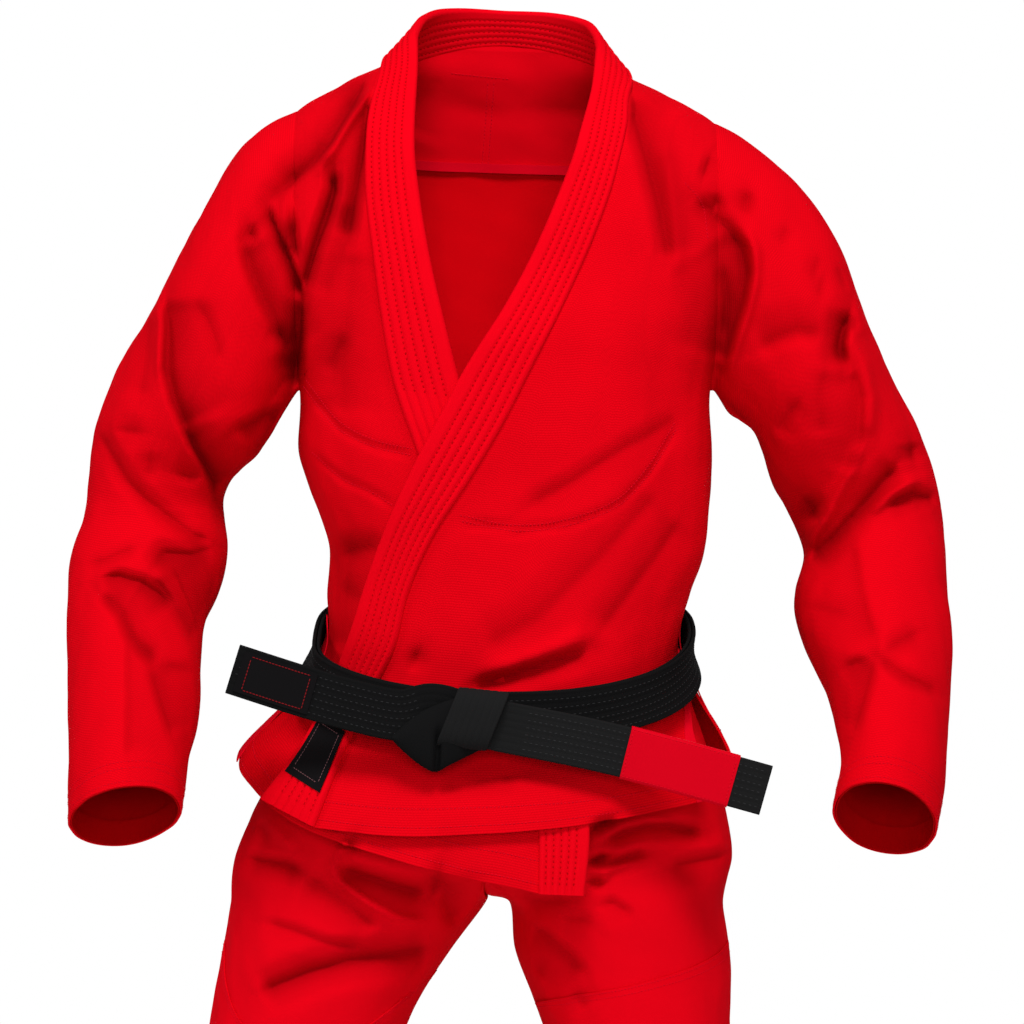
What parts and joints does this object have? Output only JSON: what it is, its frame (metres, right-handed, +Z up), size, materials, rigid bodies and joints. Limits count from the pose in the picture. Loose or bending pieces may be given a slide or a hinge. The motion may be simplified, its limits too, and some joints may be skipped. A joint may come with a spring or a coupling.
{
  "type": "grappling uniform",
  "caption": "Red grappling uniform in its worn shape: jacket with a stitched collar crossed left over right, black belt tied in front, straight trousers with knee patches.",
  "frame": {"origin": "middle of the neck opening, at the height where the jacket rests on the shoulders", "axes": "+Z up, +X to the wearer's left, -Y to the front"},
  "size_m": [0.7917, 0.3231, 1.4606],
  "materials": {
    "red_weave": "matte woven cotton",
    "red_twill": "matte cotton twill",
    "red_tape": "cotton tape",
    "red_bar": "satin",
    "black_cotton": "matte stitched cotton",
    "dark_label": "woven label"
  },
  "bodies": {
    "jacket": {"jacket_back": "red_weave", "left_front": "red_weave", "right_front": "red_weave", "yoke_lining": "red_twill", "collar_cover": "red_twill", "collar_core": "red_tape", "lapel_patch": "dark_label", "left_front_vent_tape": "red_tape", "right_front_vent_tape": "red_tape", "left_back_vent_tape": "red_tape", "right_back_vent_tape": "red_tape", "belt_inner_turn": "black_cotton", "belt_outer_turn": "black_cotton", "belt_knot": "black_cotton", "trouser_waistband": "red_twill", "crotch_gusset": "red_twill", "left_hip_panel": "red_twill", "right_hip_panel": "red_twill"},
    "left_sleeve": {"left_upper_sleeve": "red_weave"},
    "right_sleeve": {"right_upper_sleeve": "red_weave"},
    "left_forearm": {"left_forearm_sleeve": "red_weave", "left_cuff_tape": "red_tape"},
    "right_forearm": {"right_forearm_sleeve": "red_weave", "right_cuff_tape": "red_tape"},
    "left_leg": {"left_thigh": "red_twill", "left_thigh_patch": "red_twill"},
    "right_leg": {"right_thigh": "red_twill", "right_thigh_patch": "red_twill"},
    "left_lower_leg": {"left_shin": "red_twill", "left_shin_patch": "red_twill", "left_hem_tape": "red_tape"},
    "right_lower_leg": {"right_shin": "red_twill", "right_shin_patch": "red_twill", "right_hem_tape": "red_tape"},
    "left_tail": {"left_belt_end": "black_cotton", "rank_bar": "red_bar"},
    "right_tail": {"right_belt_end": "black_cotton", "belt_label": "dark_label"}
  },
  "joints": [
    {"name": "left_shoulder", "type": "hinge", "parent": "jacket", "child": "left_sleeve", "pos_m": [0.187, 0, -0.03261], "axis": [0, -1, 0], "range_deg": [0, 60]},
    {"name": "right_shoulder", "type": "hinge", "parent": "jacket", "child": "right_sleeve", "pos_m": [-0.187, 0, -0.02139], "axis": [0, 1, 0], "range_deg": [0, 60]},
    {"name": "left_elbow", "type": "hinge", "parent": "left_sleeve", "child": "left_forearm", "pos_m": [0.3263, -0.04, -0.385], "axis": [-1, 0, 0], "range_deg": [0, 60]},
    {"name": "right_elbow", "type": "hinge", "parent": "right_sleeve", "child": "right_forearm", "pos_m": [-0.3188, -0.04, -0.385], "axis": [-1, 0, 0], "range_deg": [0, 60]},
    {"name": "left_hip", "type": "hinge", "parent": "jacket", "child": "left_leg", "pos_m": [0.099, -0.111, -0.735], "axis": [-1, 0, 0], "range_deg": [0, 70]},
    {"name": "right_hip", "type": "hinge", "parent": "jacket", "child": "right_leg", "pos_m": [-0.1325, -0.111, -0.735], "axis": [-1, 0, 0], "range_deg": [0, 70]},
    {"name": "left_knee", "type": "hinge", "parent": "left_leg", "child": "left_lower_leg", "pos_m": [0.138, 0.091, -1.02], "axis": [1, 0, 0], "range_deg": [0, 90]},
    {"name": "right_knee", "type": "hinge", "parent": "right_leg", "child": "right_lower_leg", "pos_m": [-0.22, 0.091, -1.02], "axis": [1, 0, 0], "range_deg": [0, 90]},
    {"name": "left_belt_end_swing", "type": "hinge", "parent": "jacket", "child": "left_tail", "pos_m": [-0.00211, -0.16356, -0.56858], "axis": [-0.1923, 0, -0.9813], "range_deg": [0, 80]},
    {"name": "right_belt_end_swing", "type": "hinge", "parent": "jacket", "child": "right_tail", "pos_m": [-0.06343, -0.16356, -0.55329], "axis": [-0.1955, 0, 0.9807], "range_deg": [0, 80]}
  ]
}
